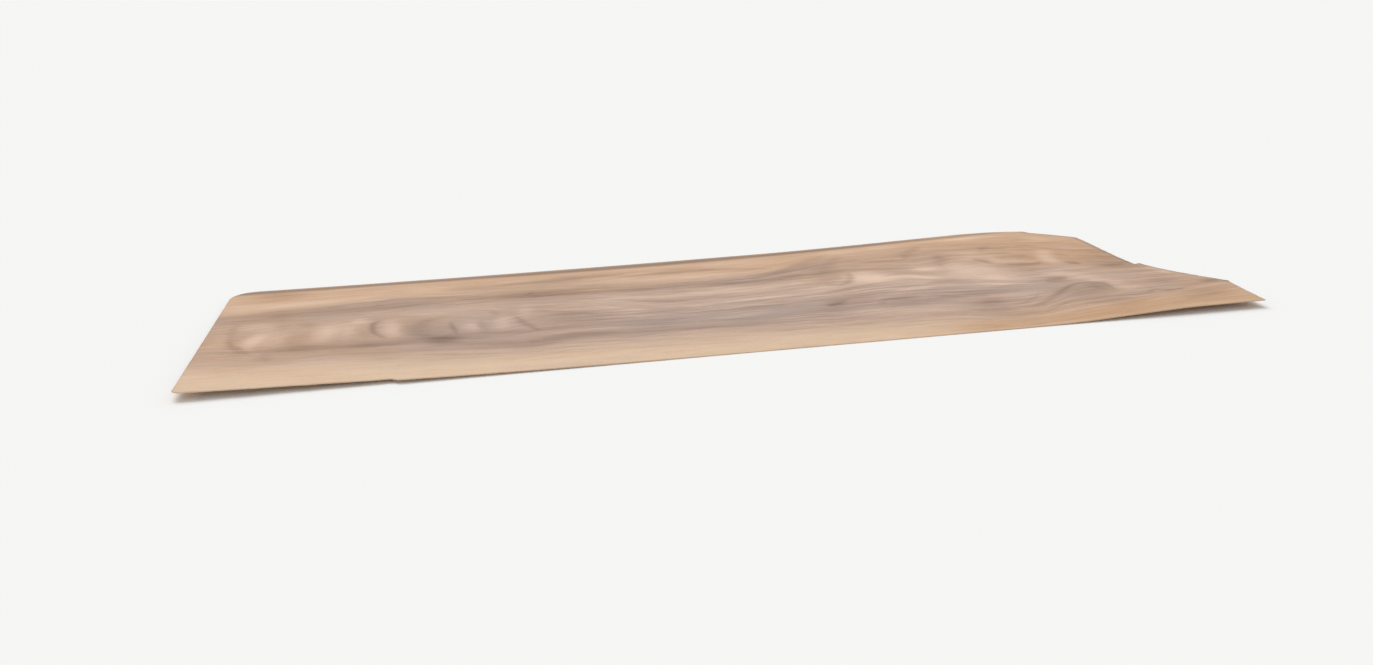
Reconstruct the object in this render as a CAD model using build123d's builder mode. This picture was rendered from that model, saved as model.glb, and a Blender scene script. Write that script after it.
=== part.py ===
from build123d import *
import math
import os

# One leaf of walnut veneer, lying loose on a level floor with its figured face up.
# Millimetres, +Z up. X runs along the leaf from its square end to its ragged one,
# and Y across it, from the pale near edge to the far one.
# The origin is the middle of the leaf's footprint, at the floor.

# Stock size
LEAF_LENGTH = 914.4        # three feet, from the square end
LEFT_WIDTH = 263.0         # across the square end
RIGHT_WIDTH = 317.0        # across the ragged end, before its corner broke off
THICKNESS = 0.6            # one forty-second of an inch, as sliced veneer is
FAR_CORNER_ROUND = 22.0    # worn corners of the square end
NEAR_CORNER_ROUND = 4.0

# Sliver split off the near edge, beside the square end
SLIVER_LENGTH = 153.0
SLIVER_WIDTH = 3.0

# Ragged end. Each "out" is how far the edge stands past the leaf's full length,
# each "at" is how far across the leaf, and each "bow" how far an edge swells
# past a straight line, or falls short of it where negative.
TIP_OUT = -3.0             # the near corner
TIP_BOW = -1.5
SPUR_OUT = 8.0             # a spur beside the near corner
SPUR_AT = 59.0
SPUR_BOW = -6.5
TEAR_OUT = -20.0           # a short tear with the grain
TEAR_AT = 151.0
ROOT_OUT = -28.0
ROOT_AT = 146.0
ROOT_BOW = 2.5
SHOULDER_OUT = -21.0       # where the broken corner starts
SHOULDER_AT = 258.0
SHOULDER_ROUND = 8.0
NICK_OUT = -62.0           # a nick half way along the break
NICK_AT = 289.0
NICK_TOP_OUT = -65.5
NICK_TOP_AT = 297.0
CORNER_LOSS = 139.0        # how much of the far edge went with the corner
CORNER_BOW = 2.9

# How the leaf lies: both ends curl up, and the far side lifts a little
NEAR_LEFT_LIFT = 6.4
FAR_LEFT_LIFT = 3.4
LEFT_CURL_REACH = 0.48     # share of the length that the left curl takes
NEAR_RIGHT_LIFT = 5.8
FAR_RIGHT_LIFT = 4.4
NEAR_CURL_START = 0.74     # share of the length where the right curl starts
FAR_CURL_START = 0.56
RIGHT_CURL_END = 0.93
CUP_RISE = 0.5             # rise of the far edge over the flat middle
CUP_START = 0.50           # share of the width at which the rise starts
RUFFLE_HEIGHT = 2.4        # waves across the ragged end
RUFFLE_CREST = 0.16        # share of the width where the first wave peaks
RUFFLE_PITCH = 0.80        # one wave's share of the width
RUFFLE_REACH = 0.10        # share of the length in which the waves die out

# The form goes past the outline on every side before the leaf is cut out of it
SURROUND = 30.0
STATIONS_ALONG = 60
STATIONS_ACROSS = 24


def width_at(x):
    """Width of the leaf at a distance from the square end."""
    return LEFT_WIDTH + (RIGHT_WIDTH - LEFT_WIDTH) * x / LEAF_LENGTH


def height_at(x, y):
    """Height of the underside over the floor, at a distance along and across the leaf."""
    along = x / LEAF_LENGTH
    across = y / width_at(x)
    cup = CUP_RISE * (max(0.0, across - CUP_START) / (1 - CUP_START)) ** 2
    left = max(0.0, 1 - along / LEFT_CURL_REACH) ** 2
    left_lift = NEAR_LEFT_LIFT * (1 - across) + FAR_LEFT_LIFT * across
    start = NEAR_CURL_START * (1 - across) + FAR_CURL_START * across
    turn = min(1.0, max(0.0, (along - start) / (RIGHT_CURL_END - start)))
    right = turn * turn * (3 - 2 * turn)
    right_lift = NEAR_RIGHT_LIFT * (1 - across) + FAR_RIGHT_LIFT * across
    wave = math.cos(2 * math.pi * (across - RUFFLE_CREST) / RUFFLE_PITCH)
    ruffle = RUFFLE_HEIGHT * wave * math.exp(-((1 - along) / RUFFLE_REACH) ** 2)
    return cup + left * left_lift + right * right_lift + ruffle


os.makedirs("parts", exist_ok=True)

corner_x = LEAF_LENGTH - CORNER_LOSS
middle_x = (LEAF_LENGTH + SPUR_OUT) / 2
middle_y = width_at(corner_x) / 2

# The underside, as one smooth surface a little larger than the leaf
grid = []
for i in range(STATIONS_ALONG + 1):
    x = -SURROUND + (LEAF_LENGTH + 2 * SURROUND) * i / STATIONS_ALONG
    row = []
    for j in range(STATIONS_ACROSS + 1):
        y = -SURROUND + (RIGHT_WIDTH + 2 * SURROUND) * j / STATIONS_ACROSS
        row.append(Vector(x - middle_x, y - middle_y, height_at(x, y)))
    grid.append(row)
underside = Face.make_surface_from_array_of_points(grid, tol=0.02, min_deg=3, max_deg=5)

# Corners of the outline, going round from the near corner of the ragged end
tip = Vector(LEAF_LENGTH + TIP_OUT, 0)
sliver_end = Vector(SLIVER_LENGTH, 0)
sliver_foot = Vector(SLIVER_LENGTH - SLIVER_WIDTH, SLIVER_WIDTH)
near_left = Vector(0, SLIVER_WIDTH)
far_left = Vector(0, LEFT_WIDTH)
far_break = Vector(corner_x, width_at(corner_x))
nick_top = Vector(LEAF_LENGTH + NICK_TOP_OUT, NICK_TOP_AT)
nick = Vector(LEAF_LENGTH + NICK_OUT, NICK_AT)
shoulder = Vector(LEAF_LENGTH + SHOULDER_OUT, SHOULDER_AT)
tear_root = Vector(LEAF_LENGTH + ROOT_OUT, ROOT_AT)
tear_mouth = Vector(LEAF_LENGTH + TEAR_OUT, TEAR_AT)
spur = Vector(LEAF_LENGTH + SPUR_OUT, SPUR_AT)

with BuildPart() as veneer_sheet:
    thicken(underside, amount=THICKNESS)
    with BuildSketch(Plane((-middle_x, -middle_y, -SURROUND))) as outline:
        with BuildLine():
            Polyline(tip, sliver_end, sliver_foot, near_left, far_left, far_break)
            SagittaArc(far_break, nick_top, CORNER_BOW)
            Polyline(nick_top, nick, shoulder)
            SagittaArc(shoulder, tear_root, ROOT_BOW)
            Line(tear_root, tear_mouth)
            SagittaArc(tear_mouth, spur, SPUR_BOW)
            SagittaArc(spur, tip, TIP_BOW)
        make_face()
        fillet(outline.vertices().sort_by_distance(far_left)[0], FAR_CORNER_ROUND)
        fillet(outline.vertices().sort_by_distance(near_left)[0], NEAR_CORNER_ROUND)
        fillet(outline.vertices().sort_by_distance(shoulder)[0], SHOULDER_ROUND)
    extrude(amount=3 * SURROUND, mode=Mode.INTERSECT)
veneer_sheet.part.label = "veneer_sheet"
export_step(veneer_sheet.part, "parts/veneer_sheet.step")
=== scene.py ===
import math

import bpy
import numpy as np
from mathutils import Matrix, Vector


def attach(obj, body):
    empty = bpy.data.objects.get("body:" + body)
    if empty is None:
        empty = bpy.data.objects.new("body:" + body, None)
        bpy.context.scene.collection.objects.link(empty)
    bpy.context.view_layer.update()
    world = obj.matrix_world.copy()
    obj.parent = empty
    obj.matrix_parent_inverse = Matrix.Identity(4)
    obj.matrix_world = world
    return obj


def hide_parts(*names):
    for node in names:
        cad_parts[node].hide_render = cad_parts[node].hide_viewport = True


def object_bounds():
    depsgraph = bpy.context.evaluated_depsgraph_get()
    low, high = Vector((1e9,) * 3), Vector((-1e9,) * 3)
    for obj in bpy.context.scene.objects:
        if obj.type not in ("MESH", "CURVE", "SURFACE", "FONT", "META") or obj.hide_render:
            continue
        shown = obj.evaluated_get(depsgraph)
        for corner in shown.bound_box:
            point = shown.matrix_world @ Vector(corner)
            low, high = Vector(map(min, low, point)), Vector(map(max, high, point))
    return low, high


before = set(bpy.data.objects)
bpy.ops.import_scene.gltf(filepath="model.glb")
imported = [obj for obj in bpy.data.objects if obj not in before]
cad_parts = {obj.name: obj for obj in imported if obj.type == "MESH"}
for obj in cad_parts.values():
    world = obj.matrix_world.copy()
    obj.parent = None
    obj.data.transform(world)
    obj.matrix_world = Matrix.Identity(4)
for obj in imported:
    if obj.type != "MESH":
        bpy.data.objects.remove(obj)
cad_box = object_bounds()

# One leaf of walnut veneer, lying with its figured face up. The figure is drawn from contours,
# curves and soft ovals, and its rings and fibres come from noise.
# Sizes are in millimetres. Places are measured along the leaf from its square end, and across it from
# its near edge. Tones are in screen levels, from 0 to 255.

MM = 0.001
NODE = "veneer_sheet"

# The leaf's outline, as in the part's source
LEAF_LENGTH = 914.4
LEFT_WIDTH = 263.0
RIGHT_WIDTH = 317.0
THICKNESS = 0.6
FAR_CORNER_ROUND = 22.0
NEAR_CORNER_ROUND = 4.0
SLIVER_LENGTH = 153.0
SLIVER_WIDTH = 3.0
# Corners of the ragged end, as (past the full length, across), and the bows between them
TIP = (-3.0, 0.0)
SPUR = (8.0, 59.0)
TEAR = (-20.0, 151.0)
ROOT = (-28.0, 146.0)
SHOULDER = (-21.0, 258.0)
NICK = (-62.0, 289.0)
NICK_TOP = (-65.5, 297.0)
CORNER_LOSS = 139.0
TIP_BOW, SPUR_BOW, ROOT_BOW, CORNER_BOW = -1.5, -6.5, 2.5, 2.9
SHOULDER_EASE = 1.4        # softens the shoulder about as much as its round in the source does
TEAR_REACH = 25.0          # how far across the leaf the grid leans with the tear

# How the leaf lies, as in the part's source: curled ends, a lifted far side and waves at the ragged end
NEAR_LEFT_LIFT, FAR_LEFT_LIFT = 6.4, 3.4
LEFT_CURL_REACH = 0.48
NEAR_RIGHT_LIFT, FAR_RIGHT_LIFT = 5.8, 4.4
NEAR_CURL_START, FAR_CURL_START, RIGHT_CURL_END = 0.74, 0.56, 0.93
CUP_RISE, CUP_START = 0.5, 0.50
RUFFLE_HEIGHT, RUFFLE_CREST, RUFFLE_PITCH, RUFFLE_REACH = 2.4, 0.16, 0.80, 0.10

# Chips eaten out of each edge, as (size, depth, seed), and how much deeper they are beside the sliver
NEAR_CHIPS = (9, 0.15, 71)
FAR_CHIPS = (14, 0.35, 73)
LEFT_CHIPS = (5, 0.35, 75)
RAGGED_CHIPS = (4.5, 1.2, 77)
SLIVER_CHIPS_DEPTH = 0.5
COARSE_SHARE = 0.65        # share of a chip's depth that is in its coarse shape
FINE_CHIPS = 4             # how many times smaller its fine shape is

# Grid of the figured face; the plain face below it has half as many cells each way
CELLS_ALONG = 440
CELLS_ACROSS = 174
END_ROUNDS = 8             # rounds in which the far end of each row of cells is found

# Noise: cells in its table each way, the cell at the leaf's corner, and how much weaker each finer size is
NOISE_CELLS = 256
NOISE_START = 64
OCTAVE_FALL = 1.8


def smooth(low, high, value):
    """0 below a range, 1 above it, and a smooth step between."""
    t = np.clip((value - low) / (high - low), 0, 1)
    return t * t * (3 - 2 * t)


def lattice(x, y, size_x, size_y, seed):
    """Smooth noise from -1 to 1, with cells of the given size in millimetres."""
    table = np.random.default_rng(seed).uniform(-1, 1, (NOISE_CELLS, NOISE_CELLS))
    gx, gy = x / size_x + NOISE_START, y / size_y + NOISE_START
    ix, iy = np.floor(gx).astype(int), np.floor(gy).astype(int)
    fx, fy = gx - ix, gy - iy
    fx, fy = fx * fx * (3 - 2 * fx), fy * fy * (3 - 2 * fy)

    def at(i, j):
        return table[i % NOISE_CELLS, j % NOISE_CELLS]

    low = at(ix, iy) * (1 - fx) + at(ix + 1, iy) * fx
    high = at(ix, iy + 1) * (1 - fx) + at(ix + 1, iy + 1) * fx
    return low * (1 - fy) + high * fy


def cloud(x, y, size_x, size_y, seed, octaves):
    """Several sizes of smooth noise together, from about -1 to 1."""
    total, weight = 0, 0
    for k in range(octaves):
        total = total + lattice(x, y, size_x / 2**k, size_y / 2**k, seed + k) / OCTAVE_FALL**k
        weight += 1 / OCTAVE_FALL**k
    return total / weight


# The figure

# Contours that the growth rings follow, as (along, across) stations. Rings run between them.
CONTOURS = (
    ((0, 0), (930, 0)),
    ((0, 74), (40, 70), (60, 66), (100, 68), (150, 63), (200, 59), (240, 55), (262, 57), (284, 64),
     (340, 62), (380, 64), (440, 60), (500, 58), (560, 57), (610, 54), (640, 46), (660, 36), (690, 32),
     (710, 34), (730, 42), (760, 47), (800, 46), (840, 48), (880, 50), (930, 56)),
    ((0, 84), (30, 80), (60, 84), (100, 86), (150, 88), (187, 86), (220, 80), (250, 68), (270, 72),
     (300, 75), (340, 71), (400, 69), (460, 68), (520, 70), (560, 72), (600, 76), (640, 66), (656, 56),
     (690, 48), (720, 51), (745, 63), (770, 72), (800, 70), (830, 64), (860, 62), (930, 62)),
    ((0, 112), (45, 112), (100, 122), (145, 122), (187, 112), (250, 112), (300, 104), (360, 104),
     (440, 108), (500, 106), (540, 104), (600, 106), (660, 100), (740, 94), (770, 97), (800, 93),
     (850, 88), (930, 88)),
    ((0, 138), (60, 148), (130, 150), (170, 146), (250, 148), (300, 134), (360, 128), (400, 126),
     (460, 130), (520, 136), (560, 140), (600, 150), (640, 152), (680, 141), (710, 130), (740, 119),
     (770, 118), (800, 120), (850, 118), (930, 116)),
    ((0, 152), (50, 160), (110, 158), (160, 166), (240, 168), (300, 162), (350, 163), (380, 155),
     (440, 150), (500, 152), (550, 160), (580, 167), (610, 172), (650, 166), (700, 156), (740, 147),
     (780, 146), (830, 150), (880, 146), (930, 142)),
    ((0, 166), (60, 164), (110, 168), (150, 174), (180, 180), (250, 183), (310, 187), (350, 184),
     (400, 181), (460, 185), (500, 191), (540, 197), (580, 200), (620, 198), (650, 188), (690, 182),
     (720, 196), (748, 184), (790, 176), (830, 172), (880, 160), (930, 152)),
    ((0, 188), (30, 192), (60, 199), (100, 206), (125, 212), (150, 217), (172, 215), (200, 212),
     (250, 216), (330, 218), (400, 214), (450, 216), (490, 220), (520, 228), (545, 240), (570, 256),
     (600, 262), (650, 264), (700, 262), (740, 256), (780, 250), (830, 240), (930, 222)),
    ((0, 265), (930, 320.5)),
)
NEAR_SAP = 1    # the contours where the sapwood starts
FAR_SAP = 7
# Eyes where the rings close: centre, size, height in rings between contours
EYES = (
    ((42, 112), (15, 22), 0.4),
    ((94, 125), (15, 24), 0.4),
    ((228, 118), (34, 30), 0.6),
    ((604, 180), (22, 16), 0.4),
)
# Streaks: curve, width, change of tone in screen levels
STREAKS = (
    # round the eyes near the square end
    ([(20, 162), (18, 143), (20, 124), (24, 106)], 4, -9),
    ([(20, 116), (24, 103), (29, 90), (34, 80)], 3.2, -17),
    ([(29, 100), (34, 88), (39, 76)], 3, -14),
    ([(24, 82), (32, 79), (44, 79)], 4, -7),
    ([(36, 84), (75, 84), (130, 86), (165, 90), (200, 88)], 10, -20),
    ([(52, 80), (52, 68), (56, 60)], 6, -10),
    ([(138, 150), (131, 141), (130, 127), (134, 112), (142, 98)], 3.0, -29),
    ([(122, 124), (125, 112), (129, 102)], 5, -8),
    ([(192, 149), (174, 138), (165, 120), (170, 102), (186, 90)], 9, -13),
    ([(158, 136), (155, 118), (160, 100)], 5, -7),
    ([(195, 134), (195, 118), (198, 98)], 2.5, -20),
    ([(220, 132), (221, 112), (224, 98)], 4, -8),
    ([(249, 137), (256, 119), (261, 106), (265, 91)], 3.8, -20),
    ([(228, 158), (233, 148), (234, 140)], 4, -9),
    # the dark line along the near sapwood
    ([(180, 80), (215, 70), (240, 65), (262, 65), (295, 72), (345, 70), (410, 66)], 10, -18),
    ([(370, 70), (420, 66), (460, 66), (500, 64)], 6, -12),
    ([(250, 66), (275, 70), (300, 74), (330, 72)], 8, -9),
    # thin lines of the middle
    ([(338, 167), (354, 165), (372, 157), (398, 151), (440, 151), (472, 149)], 3.4, -15),
    ([(286, 170), (300, 169), (316, 166)], 2.5, -7),
    ([(278, 148), (296, 149), (316, 147), (336, 141)], 3, -8),
    ([(268, 132), (290, 134), (312, 132), (326, 124), (344, 122)], 3.4, -10),
    ([(360, 135), (372, 132), (388, 126), (408, 127)], 3, -9),
    ([(372, 108), (396, 110), (430, 112), (460, 114), (488, 114), (514, 120)], 2.6, -9),
    ([(440, 130), (470, 131), (500, 133), (528, 135)], 2.8, -9),
    ([(655, 156), (668, 148), (690, 143), (706, 136), (724, 127), (742, 118)], 3.2, -8),
    ([(344, 153), (362, 150), (380, 144), (402, 143)], 3, 9),
    # the dark belt along the far sapwood
    ([(200, 200), (240, 197), (295, 197), (334, 196)], 11, -21),
    ([(330, 196), (400, 197), (450, 195), (500, 197), (540, 204)], 9, -14),
    ([(436, 191), (490, 192), (520, 199), (548, 208)], 6, -9),
    ([(264, 198), (270, 205), (272, 212)], 3, -9),
    ([(524, 202), (556, 210), (576, 226), (590, 243), (602, 262)], 9, -11),
    ([(480, 212), (520, 220), (548, 238), (572, 256), (596, 274)], 8, -12),
    # round the pale knot
    ([(546, 160), (556, 163), (564, 163)], 3, -11),
    ([(562, 158), (576, 169), (584, 183), (590, 202)], 4.5, -19),
    ([(543, 143), (575, 150), (600, 158), (640, 162), (660, 156)], 2.8, -13),
    # in the far sapwood
    ([(236, 236), (270, 241), (310, 245), (346, 250), (384, 256)], 6, -20),
    ([(360, 240), (400, 245), (440, 246), (485, 242), (525, 234)], 6, -15),
    # flecks, and the swirl near the ragged end
    ([(525, 97), (537, 103), (551, 112)], 5.5, -24),
    ([(576, 90), (584, 98), (590, 106)], 4, -7),
    ([(584, 106), (604, 105), (626, 107)], 4.5, -22),
    ([(632, 112), (650, 100), (662, 88)], 5, -9),
    ([(648, 62), (660, 55), (680, 52), (704, 51)], 4, -13),
    ([(650, 46), (670, 39), (694, 35), (712, 36), (730, 43), (748, 50), (786, 51)], 3.2, -15),
    ([(690, 51), (706, 50), (722, 56), (739, 67), (756, 80), (776, 93), (796, 98)], 4.0, -21),
    ([(688, 61), (703, 61), (718, 68), (730, 80)], 2.4, -12),
    ([(770, 90), (784, 96), (796, 96), (805, 90), (807, 78), (803, 62)], 3.4, -17),
    ([(760, 51), (796, 49), (811, 47), (824, 48), (834, 53),
      (842, 49), (857, 49), (872, 54), (892, 57)], 2.4, -15),
    ([(838, 47), (850, 44)], 3, -9),
    ([(840, 20), (866, 22), (896, 28)], 5, -9),
    ([(722, 24), (760, 28), (800, 30), (830, 36)], 3, -7),
    ([(736, 116), (752, 115), (768, 112)], 4, -14),
    ([(757, 113), (773, 115), (786, 121)], 7.5, -26),
    ([(700, 134), (716, 126), (738, 118)], 3, -9),
    ([(733, 210), (741, 198), (746, 184)], 4.5, -17),
    ([(752, 181), (770, 175), (788, 173), (797, 179)], 3.5, -19),
    ([(822, 172), (829, 166), (836, 164)], 5.5, -22),
    ([(774, 208), (790, 204), (798, 206)], 4, -12),
    ([(760, 232), (768, 244), (780, 250)], 6, -10),
    ([(800, 238), (816, 240), (830, 230), (840, 226)], 5, -10),
    ([(826, 208), (834, 200), (838, 190)], 5, -8),
    ([(846, 150), (866, 150), (884, 158)], 6, -12),
    ([(662, 226), (676, 246), (692, 262), (706, 276)], 8, -12),
    ([(690, 196), (700, 214), (708, 240)], 7, -12),
    ([(615, 232), (640, 232), (665, 226)], 7, -8),
    # pale streaks
    ([(330, 172), (380, 168), (430, 168), (500, 174), (556, 180)], 7, 10),
    ([(420, 139), (480, 138), (530, 142), (572, 156)], 5, 12),
    ([(520, 152), (545, 156), (562, 158)], 3, 8),
    ([(596, 130), (624, 131), (652, 130)], 4, 12),
    ([(286, 228), (330, 227), (376, 226), (430, 225), (470, 226), (500, 229)], 4.5, 12),
    ([(30, 206), (75, 216), (110, 222), (140, 230)], 7, 10),
    ([(530, 72), (580, 68), (620, 64), (645, 58)], 13, 11),
    ([(618, 172), (640, 172), (660, 163), (676, 158)], 4.5, 17),
    ([(690, 292), (740, 290), (790, 290), (830, 286)], 4, 12),
)
# Soft patches: centre, size, tilt in degrees, change of tone in screen levels
PATCHES = (
    ((39, 111), (8, 21), -8, 24),
    ((38, 148), (16, 14), 0, 11),
    ((55, 115), (10, 22), 0, 11),
    ((56, 146), (6, 12), 0, -6),
    ((77, 147), (7, 7), 0, -8),
    ((72, 108), (9, 16), 0, -6),
    ((91, 121), (10, 22), 4, 14),
    ((102, 134), (14, 22), 0, 12),
    ((120, 150), (8, 10), 0, 15),
    ((112, 118), (5, 24), 0, 6),
    ((145, 124), (7, 22), 4, 17),
    ((153, 116), (7, 16), 0, 6),
    ((172, 116), (20, 27), 0, -8),
    ((188, 86), (14, 12), 0, -21),
    ((208, 90), (34, 12), 0, -19),
    ((258, 90), (30, 8), 0, -13),
    ((75, 88), (16, 9), 0, -8),
    ((127, 86), (10, 8), 0, -7),
    ((209, 116), (8, 13), 0, 13),
    ((214, 112), (4, 16), 0, 5),
    ((238, 122), (8, 20), 0, 12),
    ((259, 153), (7, 17), 0, 10),
    ((190, 166), (40, 8), 4, 9),
    ((62, 181), (76, 16), 6, -15),
    ((52, 180), (12, 14), 0, -7),
    ((160, 196), (46, 15), 10, -14),
    ((316, 201), (90, 12), 0, -10),
    ((110, 198), (30, 9), 8, -3),
    ((175, 232), (22, 10), 0, 5),
    ((220, 232), (30, 14), 0, -12),
    ((300, 228), (60, 10), 0, -12),
    ((300, 112), (34, 22), 0, -15),
    ((298, 135), (26, 7), 0, -8),
    ((430, 92), (70, 20), 0, -5),
    ((350, 144), (40, 9), -8, 7),
    ((358, 98), (34, 14), 0, -6),
    ((430, 96), (50, 12), 0, 4),
    ((480, 108), (40, 14), 0, -7),
    ((520, 84), (26, 12), 0, -8),
    ((558, 112), (34, 16), 0, -16),
    ((640, 102), (40, 14), 0, -10),
    ((600, 90), (30, 10), 0, -8),
    ((690, 104), (30, 10), 0, -5),
    ((572, 212), (18, 22), 20, -9),
    ((512, 172), (34, 12), 0, 4),
    ((600, 180), (28, 19), -8, 29),
    ((480, 142), (190, 50), 0, 4),
    ((342, 168), (34, 10), 0, 7),
    ((264, 160), (26, 20), 0, -6),
    ((418, 144), (36, 12), 0, 5),
    ((812, 148), (26, 12), 0, 5),
    ((636, 162), (40, 14), -14, 11),
    ((670, 192), (14, 11), 0, 18),
    ((704, 186), (16, 20), -15, 10),
    ((716, 154), (40, 30), -30, 20),
    ((724, 141), (14, 8), -25, 9),
    ((728, 178), (14, 16), 0, 7),
    ((652, 168), (18, 10), -20, 4),
    ((672, 146), (16, 5), 0, -9),
    ((736, 220), (22, 16), 0, 14),
    ((798, 222), (22, 10), 0, 5),
    ((646, 272), (34, 10), 0, 5),
    ((786, 132), (18, 9), -14, 18),
    ((802, 112), (14, 18), -20, 12),
    ((812, 187), (10, 19), -8, 18),
    ((824, 214), (10, 15), -12, 13),
    ((756, 200), (8, 12), 0, 8),
    ((766, 286), (26, 8), 0, 16),
    ((610, 276), (24, 10), 0, 12),
    ((660, 282), (24, 8), 0, 10),
    ((500, 262), (50, 12), 2, 8),
    ((846, 266), (14, 9), -30, 12),
    ((778, 74), (29, 22), 10, -17),
    ((797, 84), (9, 14), 0, -14),
    ((770, 162), (16, 14), 0, -10),
    ((872, 156), (30, 28), 0, -12),
    ((880, 196), (12, 30), 0, -10),
    ((862, 78), (16, 8), 0, -13),
    ((905, 63), (12, 6), 0, -20),
    ((892, 124), (7, 30), 4, 14),
    ((920, 59), (4, 4), 0, -26),
    ((820, 66), (14, 9), 0, 8),
    ((722, 40), (24, 4), 12, 6),
    ((672, 66), (16, 22), 0, -9),
    ((786, 40), (16, 8), 0, -8),
    ((40, 240), (26, 12), 0, -11),
    ((150, 64), (60, 12), 0, -6),
    ((192, 112), (22, 14), 0, -7),
    ((12, 112), (7, 20), 0, 6),
    ((478, 184), (26, 6), 0, -8),
    ((680, 78), (14, 13), 30, -6),
    ((698, 45), (14, 3), 0, 8),
    ((706, 121), (24, 6), 0, 9),
    ((810, 97), (12, 9), 0, 13),
    ((862, 146), (24, 8), 0, -8),
    ((526, 214), (34, 9), 18, -12),
    ((350, 248), (40, 8), 0, -6),
    ((425, 247), (44, 9), 0, -8),
    ((40, 210), (60, 16), 4, 7),
    ((50, 40), (70, 14), 0, 5),
    ((165, 12), (130, 15), 0, 5),
    ((874, 36), (34, 16), 0, -6),
    ((724, 91), (20, 9), 0, 5),
    ((820, 86), (10, 17), -15, 9),
    ((570, 195), (22, 9), 0, -5),
    ((798, 197), (18, 9), 0, -6),
    ((266, 221), (28, 8), 0, -5),
    ((722, 247), (28, 9), 0, -5),
)
# Places where the rings lie too close to be told apart: centre, size, share of their contrast lost
CALM = (
    ((135, 124), (140, 40), 0.75),
    ((44, 66), (80, 16), 0.6),
    ((60, 182), (90, 14), 0.4),
    ((262, 68), (70, 16), 0.5),
    ((712, 168), (44, 44), 0.6),
    ((604, 180), (26, 18), 0.7),
    ((640, 248), (100, 44), 0.3),
    ((812, 190), (30, 34), 0.5),
    ((832, 158), (34, 24), 0.6),
)
# Patches of hue: centre, size, tilt, change; positive is tan, negative grey
HUES = (
    ((42, 240), (34, 16), 0, 1.0),
    ((30, 110), (80, 70), 0, 0.65),
    ((800, 190), (60, 34), 0, 0.8),
    ((60, 184), (70, 14), 4, 0.25),
    ((320, 232), (150, 12), 0, -0.2),
    ((290, 202), (130, 15), 0, 0.6),
    ((570, 195), (40, 20), 0, 0.4),
    ((646, 12), (40, 16), 0, 0.6),
    ((760, 14), (80, 16), 0, 0.3),
    ((160, 100), (60, 50), 0, 0.3),
    ((260, 258), (160, 12), 3, 0.3),
    ((560, 258), (130, 30), 3, 0.45),
    ((640, 225), (60, 26), 0, 0.4),
    ((790, 250), (90, 46), 0, 0.8),
    ((880, 190), (44, 70), 0, 0.7),
    ((800, 16), (170, 26), 0, 1.0),
    ((890, 60), (40, 40), 0, 0.4),
    ((186, 96), (34, 26), 0, -0.6),
    ((226, 108), (40, 40), 0, -0.4),
    ((370, 96), (60, 26), 0, -0.9),
    ((470, 96), (70, 28), 0, -0.9),
    ((590, 92), (60, 16), 0, -0.8),
    ((620, 138), (50, 16), 0, -0.5),
    ((690, 112), (46, 20), 0, -0.7),
    ((745, 98), (26, 10), 0, -0.6),
    ((430, 140), (120, 20), 0, -0.2),
)

# Wavers of the whole figure and of its rings: reach, size along and across, seed, octaves
DRIFT_ALONG = (4, 60, 26, 11, 3)
DRIFTS_ACROSS = ((2.4, 70, 18, 23, 3), (1.0, 26, 9, 29, 3))
RING_WAVER = (1.1, 17, 8, 37, 2)
CONTOUR_EASE = (-12, -6, 0, 6, 12)    # shifts along the leaf over which a contour is averaged

# Borders of the sapwood: the near one fades over a range past its contour, and the far one
# over a blur that is wider towards the ragged end
NEAR_SAP_FADE = (-46, 6)
FAR_SAP_BLURS = (8, 27)
FAR_SAP_WIDENS = (500, 620)

# Painted shade: the dark rim of the far edge, standing in for the shadowed edges of the leaves beneath, by
# distance from the edge. Where its fade starts and ends is given with how much further that is at the
# rim's widest place.
RIM_START = 0.5            # its strength at the very edge
RIM_FULL = (1, 6)          # where it grows to its full strength
RIM_FADE = ((7, 3), (14, 5))
RIM_WIDEST, RIM_SPREAD = 390, 150
RIM_LOSS, RIM_LOSS_PLACE = 0.35, (640, 760)    # share lost, and where along the leaf it goes
# The painted shade's thin rim along the ragged end, by distance from the end, and where across the leaf it
# sets in
END_RIM, END_RIM_FADE, END_RIM_PLACE = 0.5, (2, 8), (70, 160)

# A streak is worked out to so many widths from its curve, and narrows to a share of its width at its tips
STREAK_REACH = 3
STREAK_TIP = 0.35
LEAST_TAPER = 0.02
FAR_AWAY = 1e9
# How crisply the rims of the ovals fall off
PATCH_CRISPNESS = 1.3
CALM_CRISPNESS = 2.0


def curve(points, per_leg=6):
    """A smooth curve through a few points, as a run of short legs."""
    p = np.array(points, float)
    p = np.vstack([2 * p[0] - p[1], p, 2 * p[-1] - p[-2]])
    t = np.linspace(0, 1, per_leg, endpoint=False)[:, None]
    legs = []
    for a, b, c, d in zip(p, p[1:], p[2:], p[3:]):
        bend = 2 * a - 5 * b + 4 * c - d + t * (3 * (b - c) + d - a)
        legs.append(b + 0.5 * t * (c - a + t * bend))
    return np.vstack(legs + [p[-2:-1]])


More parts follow.
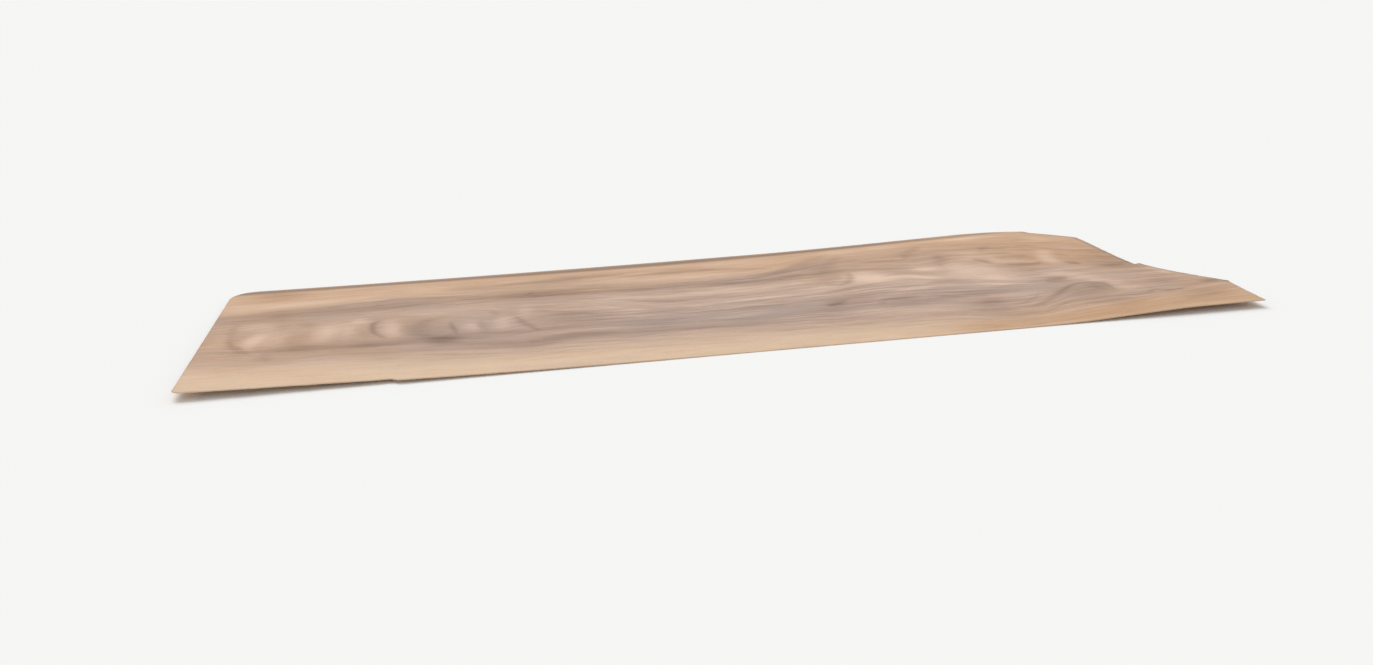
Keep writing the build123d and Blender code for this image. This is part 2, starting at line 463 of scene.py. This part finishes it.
def streak(x, y, points, width):
    """1 on a curve, fading over the width to either side and thinning to its ends."""
    run = curve(points)
    reach = STREAK_REACH * width
    low, high = run.min(0) - reach, run.max(0) + reach
    inside = (x > low[0]) & (x < high[0]) & (y > low[1]) & (y < high[1])
    px, py = x[inside], y[inside]
    best, where = np.full(px.shape, FAR_AWAY), np.zeros(px.shape)
    for k, (a, b) in enumerate(zip(run, run[1:])):
        leg = b - a
        t = np.clip(((px - a[0]) * leg[0] + (py - a[1]) * leg[1]) / (leg @ leg), 0, 1)
        away = np.hypot(px - a[0] - t * leg[0], py - a[1] - t * leg[1])
        where = np.where(away < best, (k + t) / (len(run) - 1), where)
        best = np.minimum(best, away)
    taper = np.clip(1 - (2 * where - 1) ** 2, LEAST_TAPER, 1)
    local_width = width * (STREAK_TIP + (1 - STREAK_TIP) * taper)
    made = np.zeros(x.shape)
    made[inside] = np.exp(-((best / local_width) ** 2)) * np.sqrt(taper)
    return made


def oval(x, y, centre, size, tilt=0.0, crisp=1.0):
    """1 in the middle of a soft oval, fading to its rim; tilt in degrees."""
    c, s = math.cos(math.radians(tilt)), math.sin(math.radians(tilt))
    dx, dy = x - centre[0], y - centre[1]
    u, v = (dx * c + dy * s) / size[0], (dy * c - dx * s) / size[1]
    return np.exp(-((u * u + v * v) ** crisp))


def contour(index, x):
    """How far across the leaf a contour runs, with its stations rounded off."""
    along, across = np.array(CONTOURS[index], float).T
    return sum(np.interp(x + step, along, across) for step in CONTOUR_EASE) / len(CONTOUR_EASE)


def waver(x, y, reach, *noise):
    """A slow shift in millimetres, to either side by up to its reach."""
    return reach * cloud(x, y, *noise)


def figure(x, y):
    """The figure's fields at places along and across the leaf."""
    edge = width_at(x) - y
    end = right_end(y) - x
    x = x + waver(x, y, *DRIFT_ALONG)
    straight = y
    for drift in DRIFTS_ACROSS:
        y = y + waver(x, straight, *drift)

    # Rings are counted from contour to contour, so that whole numbers lie on the contours
    edges = [contour(k, x) for k in range(len(CONTOURS))]
    wavy = y + waver(x, y, *RING_WAVER)
    ring = (wavy - edges[0]) / (edges[1] - edges[0])
    for k in range(1, len(edges) - 1):
        ring = np.where(wavy > edges[k], k + (wavy - edges[k]) / (edges[k + 1] - edges[k]), ring)
    for centre, size, rise in EYES:
        ring = ring + rise * oval(x, y, centre, size)

    near_sap = 1 - smooth(*NEAR_SAP_FADE, y - edges[NEAR_SAP])
    least, most = FAR_SAP_BLURS
    blur = least + (most - least) * smooth(*FAR_SAP_WIDENS, x)
    far_sap = smooth(-1, 1, (y - edges[FAR_SAP]) / blur)

    tone = sum(change * streak(x, y, points, width) for points, width, change in STREAKS)
    tone = tone + sum(change * oval(x, y, *place, crisp=PATCH_CRISPNESS) for *place, change in PATCHES)
    hue = sum(change * oval(x, y, *place) for *place, change in HUES)
    calm = sum(lost * oval(x, y, *place, crisp=CALM_CRISPNESS) for *place, lost in CALM)

    # Painted shade: a dark rim along the far edge, and a thinner one along the ragged end
    widest = np.exp(-(((x - RIM_WIDEST) / RIM_SPREAD) ** 2))
    fade = [place + further * widest for place, further in RIM_FADE]
    painted_shade_rim = (RIM_START + (1 - RIM_START) * smooth(*RIM_FULL, edge)) * (1 - smooth(*fade, edge))
    painted_shade_rim = painted_shade_rim * (1 - RIM_LOSS * smooth(*RIM_LOSS_PLACE, x))
    painted_shade_rim = np.maximum(painted_shade_rim, END_RIM * (1 - smooth(*END_RIM_FADE, end)) * smooth(*END_RIM_PLACE, y))
    return {
        "ring": ring, "near_sap": near_sap, "far_sap": far_sap,
        "tone": tone, "hue": hue, "painted_shade_rim": painted_shade_rim, "calm": calm,
    }


# The leaf's mesh

def width_at(x):
    """Width of the leaf at a distance from the square end."""
    return LEFT_WIDTH + (RIGHT_WIDTH - LEFT_WIDTH) * x / LEAF_LENGTH


CORNER_X = LEAF_LENGTH - CORNER_LOSS
MIDDLE = ((LEAF_LENGTH + SPUR[0]) / 2, width_at(CORNER_X) / 2)    # the frame's origin


def height_at(x, y):
    """Height of the plain face over the floor."""
    along, across = x / LEAF_LENGTH, y / width_at(x)
    cup = CUP_RISE * (np.maximum(0, across - CUP_START) / (1 - CUP_START)) ** 2
    left = np.maximum(0, 1 - along / LEFT_CURL_REACH) ** 2
    left_lift = NEAR_LEFT_LIFT * (1 - across) + FAR_LEFT_LIFT * across
    start = NEAR_CURL_START * (1 - across) + FAR_CURL_START * across
    right = smooth(0, 1, (along - start) / (RIGHT_CURL_END - start))
    right_lift = NEAR_RIGHT_LIFT * (1 - across) + FAR_RIGHT_LIFT * across
    wave = np.cos(2 * math.pi * (across - RUFFLE_CREST) / RUFFLE_PITCH)
    ruffle = RUFFLE_HEIGHT * wave * np.exp(-(((1 - along) / RUFFLE_REACH) ** 2))
    return cup + left * left_lift + right * right_lift + ruffle


def chips(place, size, depth, seed):
    """How far a torn edge is eaten in: never outwards, and jagged rather than wavy."""
    coarse = 0.5 + 0.5 * lattice(place, 0 * place, size, 1, seed)
    fine = 0.5 + 0.5 * lattice(place, 0 * place, size / FINE_CHIPS, 1, seed + 1)
    return depth * (COARSE_SHARE * coarse**2 + (1 - COARSE_SHARE) * fine**2)


def near_edge(x):
    split = np.clip((SLIVER_LENGTH - x) / SLIVER_WIDTH, 0, 1)
    size, depth, seed = NEAR_CHIPS
    return split * SLIVER_WIDTH + chips(x, size, depth + SLIVER_CHIPS_DEPTH * split, seed)


def far_edge(x):
    return width_at(x) - chips(x, *FAR_CHIPS)


def left_end(y):
    past = np.clip(y - (LEFT_WIDTH - FAR_CORNER_ROUND), 0, FAR_CORNER_ROUND)
    short = np.clip(SLIVER_WIDTH + NEAR_CORNER_ROUND - y, 0, NEAR_CORNER_ROUND)
    far = FAR_CORNER_ROUND - np.sqrt(FAR_CORNER_ROUND**2 - past**2)
    near = NEAR_CORNER_ROUND - np.sqrt(NEAR_CORNER_ROUND**2 - short**2)
    return far + near + chips(y, *LEFT_CHIPS)


def bowed(y, low, high, bow):
    """How far out an arc between two corners stands, at a distance across the leaf."""
    (x0, y0), (x1, y1) = low, high
    chord = math.hypot(x1 - x0, y1 - y0)
    radius = (chord**2 / 4 + bow**2) / (2 * bow)
    centre_x = (x0 + x1) / 2 - (y1 - y0) / chord * (radius - bow)
    centre_y = (y0 + y1) / 2 + (x1 - x0) / chord * (radius - bow)
    return centre_x + math.copysign(1, bow) * np.sqrt(np.maximum(0, radius**2 - (y - centre_y) ** 2))


def tear_slant(x, y):
    """How far the tear leans across the leaf as it runs out from its root."""
    reach = np.clip((x - LEAF_LENGTH - ROOT[0]) / (TEAR[0] - ROOT[0]), 0, 1)
    return (TEAR[1] - ROOT[1]) * reach * np.exp(-(((y - ROOT[1]) / TEAR_REACH) ** 2))


def right_end(y):
    """Where the ragged end stands at a distance across the leaf, with the tear set straight."""
    break_y = width_at(CORNER_X)
    root = bowed(y, ROOT, SHOULDER, ROOT_BOW)
    lost = SHOULDER[0] + (NICK[0] - SHOULDER[0]) * (y - SHOULDER[1]) / (NICK[1] - SHOULDER[1])
    shoulder = -SHOULDER_EASE * np.log(np.exp(-root / SHOULDER_EASE) + np.exp(-lost / SHOULDER_EASE))
    nick = np.interp(y, (NICK[1], NICK_TOP[1]), (NICK[0], NICK_TOP[0]))
    corner = bowed(np.minimum(y, break_y), NICK_TOP, (-CORNER_LOSS, break_y), CORNER_BOW)
    slant = y + tear_slant(LEAF_LENGTH, y)
    out = np.where(y < SPUR[1], bowed(y, TIP, SPUR, TIP_BOW), bowed(slant, SPUR, TEAR, SPUR_BOW))
    out = np.where(y > ROOT[1], shoulder, out)
    out = np.where(y > NICK[1], nick, out)
    out = np.where(y > NICK_TOP[1], corner, out)
    return LEAF_LENGTH + out - chips(y, *RAGGED_CHIPS)


def plan_grid():
    """Places of the figured face's stations, as (along, across) grids."""
    shares = (np.linspace(0, 1, cells + 1) for cells in (CELLS_ALONG, CELLS_ACROSS))
    u, v = np.meshgrid(*shares, indexing="ij")
    end_y = v[-1] * RIGHT_WIDTH
    for _ in range(END_ROUNDS):
        end_y = v[-1] * width_at(right_end(end_y))
    start = left_end(SLIVER_WIDTH + (LEFT_WIDTH - SLIVER_WIDTH) * v[0])
    x = start + (right_end(end_y) - start) * u
    low = near_edge(x)
    y = low + (far_edge(x) - low) * v
    return x, y + tear_slant(x, y)


def cell_faces(rows, columns):
    """The four stations of each cell of a grid, anticlockwise from above."""
    first = (np.arange(rows - 1)[:, None] * columns + np.arange(columns - 1)).ravel()
    return np.stack([first, first + columns, first + columns + 1, first + 1], -1)


def rim_loop(rows, columns, step):
    """Indices of the stations round a grid's rim, each step apart, anticlockwise from the near left."""
    def at(i, j):
        return i * columns + j

    near = [at(i, 0) for i in range(0, rows - 1, step)]
    right = [at(rows - 1, j) for j in range(0, columns - 1, step)]
    far = [at(i, columns - 1) for i in range(rows - 1, 0, -step)]
    left = [at(0, j) for j in range(columns - 1, 0, -step)]
    return near + right + far + left


def both_faces(grid):
    """A grid's values at the stations of the figured face, and then at those of the plain one."""
    each = grid.shape[2:]
    return np.concatenate([grid.reshape(-1, *each), grid[::2, ::2].reshape(-1, *each)])


def build_leaf():
    """The leaf as one mesh, which carries the figure's fields and its own plan."""
    x, y = plan_grid()
    fields = figure(x, y)
    base = height_at(x, y)
    slope_x = (height_at(x + 1, y) - height_at(x - 1, y)) / 2
    slope_y = (height_at(x, y + 1) - height_at(x, y - 1)) / 2
    rise = THICKNESS * np.sqrt(1 + slope_x**2 + slope_y**2)
    top = np.stack([x, y, base + rise], -1)
    under = np.stack([x, y, base], -1)[::2, ::2]
    places = np.concatenate([top.reshape(-1, 3), under.reshape(-1, 3)])
    places = np.clip((places - (MIDDLE[0], MIDDLE[1], 0)) * MM, *cad_box)

    upper_faces = cell_faces(*x.shape)
    lower_faces = cell_faces(*under.shape[:2])[:, [0, 3, 2, 1]] + x.size    # seen from below
    faces = np.concatenate([upper_faces, lower_faces]).tolist()

    # The edge strip, with two stations of the upper rim to each one of the lower
    upper = rim_loop(*x.shape, 1)
    lower = [k + x.size for k in rim_loop(*under.shape[:2], 1)]
    for k, here in enumerate(lower):
        there = lower[(k + 1) % len(lower)]
        a, b, c = upper[2 * k], upper[2 * k + 1], upper[(2 * k + 2) % len(upper)]
        faces += [(a, here, b), (b, here, there), (b, there, c)]

    mesh = bpy.data.meshes.new("walnut_leaf")
    mesh.from_pydata(places.tolist(), [], faces)
    for name, grid in fields.items():
        values = both_faces(grid).astype(np.float32)
        mesh.attributes.new(name, "FLOAT", "POINT").data.foreach_set("value", values)
    plan = both_faces(np.stack([x, y, 0 * x], -1)).astype(np.float32)
    mesh.attributes.new("plan", "FLOAT_VECTOR", "POINT").data.foreach_set("vector", plan.ravel())
    mesh.validate()
    leaf = bpy.data.objects.new("walnut_leaf", mesh)
    bpy.context.collection.objects.link(leaf)
    smooth_faces = np.zeros(len(mesh.polygons), bool)
    smooth_faces[: len(upper_faces) + len(lower_faces)] = True
    mesh.polygons.foreach_set("use_smooth", smooth_faces)
    return leaf


# Walnut

def linear(red, green, blue):
    """A colour as read off a screen, from 0 to 255, as the shader takes it."""
    screen = [level / 255 for level in (red, green, blue)]
    return (*(c / 12.92 if c <= 0.04045 else ((c + 0.055) / 1.055) ** 2.4 for c in screen), 1.0)


HEARTWOOD = linear(192, 163, 144)
NEAR_SAPWOOD = linear(226, 196, 166)
FAR_SAPWOOD = linear(215, 179, 148)
GREY_WOOD = linear(178, 157, 147)
TAN_WOOD = linear(201, 160, 124)
DARK_WOOD = linear(126, 99, 82)
LIGHT_WOOD = linear(240, 209, 186)
# colour of the painted shade rim along the far edge and the ragged end
PAINTED_SHADE_RIM = linear(136, 111, 94)
PORE = linear(92, 68, 54)
DARK_STEP = 1 / 50         # share of dark wood for each screen level of tone
LIGHT_STEP = 1 / 37        # share of light wood for each screen level of tone
HUE_STEP = 0.8             # share of tan or grey wood for a full step of hue
# share of the painted shade rim's colour where the rim is at full strength
PAINTED_SHADE_SHARE = 0.8
PORE_SHARE = 0.22

# Growth rings, as bands of noise. Each has its cells per millimetre along the leaf, its cells per ring,
# its slice of the noise, its detail and its depth of tone.
BANDS = (
    (0.006, 3.1, 0.0, 1.0, 30.0),
    (0.012, 8.5, 7.0, 1.0, 34.0),
    (0.02, 17.0, 13.0, 2.0, 50.0),
)
NEAR_SAP_BANDS, FAR_SAP_BANDS = 0.3, 0.5    # share of their depth that the bands keep in the sapwood
# Fibres and pores: cells per millimetre along and across the leaf, and cells per ring
FIBRES = (0.05, 1.4, 6.0)
FIBRE_DETAIL, FIBRE_ROUGHNESS, FIBRE_TONE = 4.0, 0.7, 38.0
PORES = (0.22, 3.6, 9.0)
PORE_DETAIL, PORE_RANGE = 2.0, (0.60, 0.70)
# Slow drift of hue: cells per millimetre along and across, slice, detail and strength
SHADE, SHADE_SLICE, SHADE_DETAIL, SHADE_STRENGTH = (0.016, 0.05), 31.0, 2.0, 1.2
# Relief and gloss of the grain
FIBRE_RELIEF, PORE_RELIEF = 0.8, 0.5
BUMP_STRENGTH, BUMP_DISTANCE = 0.25, 0.0002
GLOSS_FIBRES, ROUGHNESS = (-0.2, 0.2), (0.62, 0.74)
SPECULAR_LEVEL = 0.3


class Shader:
    """Makes nodes one after another, with inputs given as values or as other nodes' outputs."""

    def __init__(self, name):
        self.material = bpy.data.materials.new(name)
        self.material.use_nodes = True
        self.tree = self.material.node_tree
        self.tree.nodes.clear()

    def node(self, kind, inputs=None, **settings):
        made = self.tree.nodes.new(kind)
        for key, value in settings.items():
            setattr(made, key, value)
        for key, value in (inputs or {}).items():
            if isinstance(value, bpy.types.NodeSocket):
                self.tree.links.new(value, made.inputs[key])
            else:
                made.inputs[key].default_value = value
        return made

    def field(self, name, output="Fac"):
        return self.node("ShaderNodeAttribute", attribute_name=name).outputs[output]

    def math(self, operation, a, b, clamp=False):
        return self.node("ShaderNodeMath", {0: a, 1: b}, operation=operation, use_clamp=clamp).outputs[0]

    def plus(self, a, b):
        return self.math("ADD", a, b)

    def minus(self, a, b):
        return self.math("SUBTRACT", a, b)

    def times(self, a, b):
        return self.math("MULTIPLY", a, b)

    def spread(self, value, low, high, to_low=0.0, to_high=1.0):
        """Maps a value from one range to another, clamped."""
        places = {"Value": value, "From Min": low, "From Max": high, "To Min": to_low, "To Max": to_high}
        return self.node("ShaderNodeMapRange", places).outputs[0]

    def mix(self, share, a, b):
        return self.node("ShaderNodeMix", {0: share, 6: a, 7: b}, data_type="RGBA").outputs[2]

    def blend(self, colour, other, amount, step):
        """A colour with as much of another as an amount times a step says, from none to all."""
        return self.mix(self.math("MULTIPLY", amount, step, clamp=True), colour, other)

    def noise(self, x, y, z, detail, roughness=0.5):
        place = self.node("ShaderNodeCombineXYZ", {0: x, 1: y, 2: z}).outputs[0]
        texture = {"Vector": place, "Scale": 1.0, "Detail": detail, "Roughness": roughness}
        return self.node("ShaderNodeTexNoise", texture, noise_dimensions="3D").outputs["Fac"]


def walnut():
    s = Shader("walnut_veneer")
    plan = s.node("ShaderNodeSeparateXYZ", {0: s.field("plan", "Vector")}).outputs
    along, across = plan[0], plan[1]
    ring = s.field("ring")
    near_sap, far_sap = s.field("near_sap"), s.field("far_sap")

    # Growth rings: bands of several widths that follow the contours, fainter in the sapwood and where calm
    bands = 0.0
    for stretch, pitch, layer, detail, depth in BANDS:
        band = s.noise(s.times(along, stretch), s.times(ring, pitch), layer, detail)
        bands = s.plus(bands, s.times(band, depth))
    bands = s.minus(bands, sum(depth for *_, depth in BANDS) / 2)
    bands = s.times(bands, s.spread(near_sap, 0, 1, 1.0, NEAR_SAP_BANDS))
    bands = s.times(bands, s.spread(far_sap, 0, 1, 1.0, FAR_SAP_BANDS))
    bands = s.times(bands, s.spread(s.field("calm"), 0, 1, 1.0, 0.0))

    # Fibres and pores: short fine streaks along the grain
    place = [s.times(way, scale) for way, scale in zip((along, across, ring), FIBRES)]
    fibre = s.minus(s.noise(*place, FIBRE_DETAIL, FIBRE_ROUGHNESS), 0.5)
    place = [s.times(way, scale) for way, scale in zip((along, across, ring), PORES)]
    pores = s.spread(s.noise(*place, PORE_DETAIL), *PORE_RANGE)

    tone = s.minus(s.minus(s.field("tone"), bands), s.times(fibre, FIBRE_TONE))
    place = [s.times(way, scale) for way, scale in zip((along, across), SHADE)]
    shade = s.minus(s.noise(*place, SHADE_SLICE, SHADE_DETAIL), 0.5)
    hue = s.plus(s.field("hue"), s.times(shade, SHADE_STRENGTH))

    colour = s.mix(far_sap, HEARTWOOD, FAR_SAPWOOD)
    colour = s.mix(near_sap, colour, NEAR_SAPWOOD)
    colour = s.blend(colour, TAN_WOOD, hue, HUE_STEP)
    colour = s.blend(colour, GREY_WOOD, hue, -HUE_STEP)
    colour = s.blend(colour, LIGHT_WOOD, tone, LIGHT_STEP)
    colour = s.blend(colour, DARK_WOOD, tone, -DARK_STEP)
    # painted shade along the far edge and the ragged end
    colour = s.blend(colour, PAINTED_SHADE_RIM, s.field("painted_shade_rim"), PAINTED_SHADE_SHARE)
    colour = s.blend(colour, PORE, pores, PORE_SHARE)

    grain = s.minus(s.times(fibre, FIBRE_RELIEF), s.times(pores, PORE_RELIEF))
    relief = {"Strength": BUMP_STRENGTH, "Distance": BUMP_DISTANCE, "Height": grain}
    surface = s.node("ShaderNodeBsdfPrincipled", {
        "Base Color": colour,
        "Roughness": s.spread(fibre, *GLOSS_FIBRES, *ROUGHNESS),
        "Normal": s.node("ShaderNodeBump", relief).outputs[0],
    })
    surface.inputs["Specular IOR Level"].default_value = SPECULAR_LEVEL
    s.node("ShaderNodeOutputMaterial", {"Surface": surface.outputs[0]})
    return s.material


leaf = build_leaf()
leaf.data.materials.append(walnut())
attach(leaf, "root")
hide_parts(NODE)

# Floor

FLOOR_SIZE = 60.0          # metres
FLOOR_COLOUR = linear(251, 251, 250)
floor_shader = Shader("floor")
floor_lit = floor_shader.node("ShaderNodeBsdfDiffuse", {"Color": FLOOR_COLOUR}).outputs[0]
floor_shader.node("ShaderNodeOutputMaterial", {"Surface": floor_lit})
floor_mesh = bpy.data.meshes.new("floor")
half = FLOOR_SIZE / 2
floor_corners = [(-half, -half, 0), (half, -half, 0), (half, half, 0), (-half, half, 0)]
floor_mesh.from_pydata(floor_corners, [], [(0, 1, 2, 3)])
floor_mesh.materials.append(floor_shader.material)
floor = bpy.data.objects.new("floor", floor_mesh)
bpy.context.collection.objects.link(floor)

# Light: an even sky with a soft sun in it; the camera sees a backdrop of the lit floor's look instead

SKY_LEVEL = 0.56
SKY_COLOUR = (1, 1, 1, 1)
BACKDROP_COLOUR = linear(246, 246, 245)
SUN_LEVEL = 0.46           # share of a level surface's light that comes from the soft sun
SUN_SPREAD = 50.0
SUN_TILT = (-28.0, -14.0)  # from behind and a little from the left
world = bpy.data.worlds.new("studio")
bpy.context.scene.world = world
world.use_nodes = True
tree = world.node_tree
tree.nodes.clear()
light_path = tree.nodes.new("ShaderNodeLightPath")
sky = tree.nodes.new("ShaderNodeBackground")
sky.inputs["Color"].default_value = SKY_COLOUR
sky.inputs["Strength"].default_value = SKY_LEVEL
backdrop = tree.nodes.new("ShaderNodeBackground")
backdrop.inputs["Color"].default_value = BACKDROP_COLOUR
either = tree.nodes.new("ShaderNodeMixShader")
world_output = tree.nodes.new("ShaderNodeOutputWorld")
tree.links.new(light_path.outputs["Is Camera Ray"], either.inputs[0])
tree.links.new(sky.outputs[0], either.inputs[1])
tree.links.new(backdrop.outputs[0], either.inputs[2])
tree.links.new(either.outputs[0], world_output.inputs[0])

sun_data = bpy.data.lights.new("soft_sun", "SUN")
sun_data.energy = SUN_LEVEL * math.pi
sun_data.angle = math.radians(SUN_SPREAD)
sun = bpy.data.objects.new("soft_sun", sun_data)
bpy.context.collection.objects.link(sun)
sun.rotation_euler = (math.radians(SUN_TILT[0]), math.radians(SUN_TILT[1]), 0)

# Camera, from a perspective fit to the photograph

PHOTO_WIDTH = 1373
FOCAL_PIXELS = 1000.0
SENSOR = 36.0
CAMERA_ALONG, CAMERA_ACROSS, CAMERA_HEIGHT = 189.0, -710.0, 271.6
CAMERA_PITCH, CAMERA_YAW = 18.85, 14.30
camera_data = bpy.data.cameras.new("camera")
camera_data.sensor_width = SENSOR
camera_data.lens = SENSOR * FOCAL_PIXELS / PHOTO_WIDTH
camera = bpy.data.objects.new("camera", camera_data)
bpy.context.collection.objects.link(camera)
camera.location = (
    (CAMERA_ALONG - MIDDLE[0]) * MM,
    (CAMERA_ACROSS - MIDDLE[1]) * MM,
    CAMERA_HEIGHT * MM,
)
camera.rotation_euler = (math.radians(90 - CAMERA_PITCH), 0, math.radians(-CAMERA_YAW))
bpy.context.scene.camera = camera
bpy.context.scene.view_settings.view_transform = "Standard"
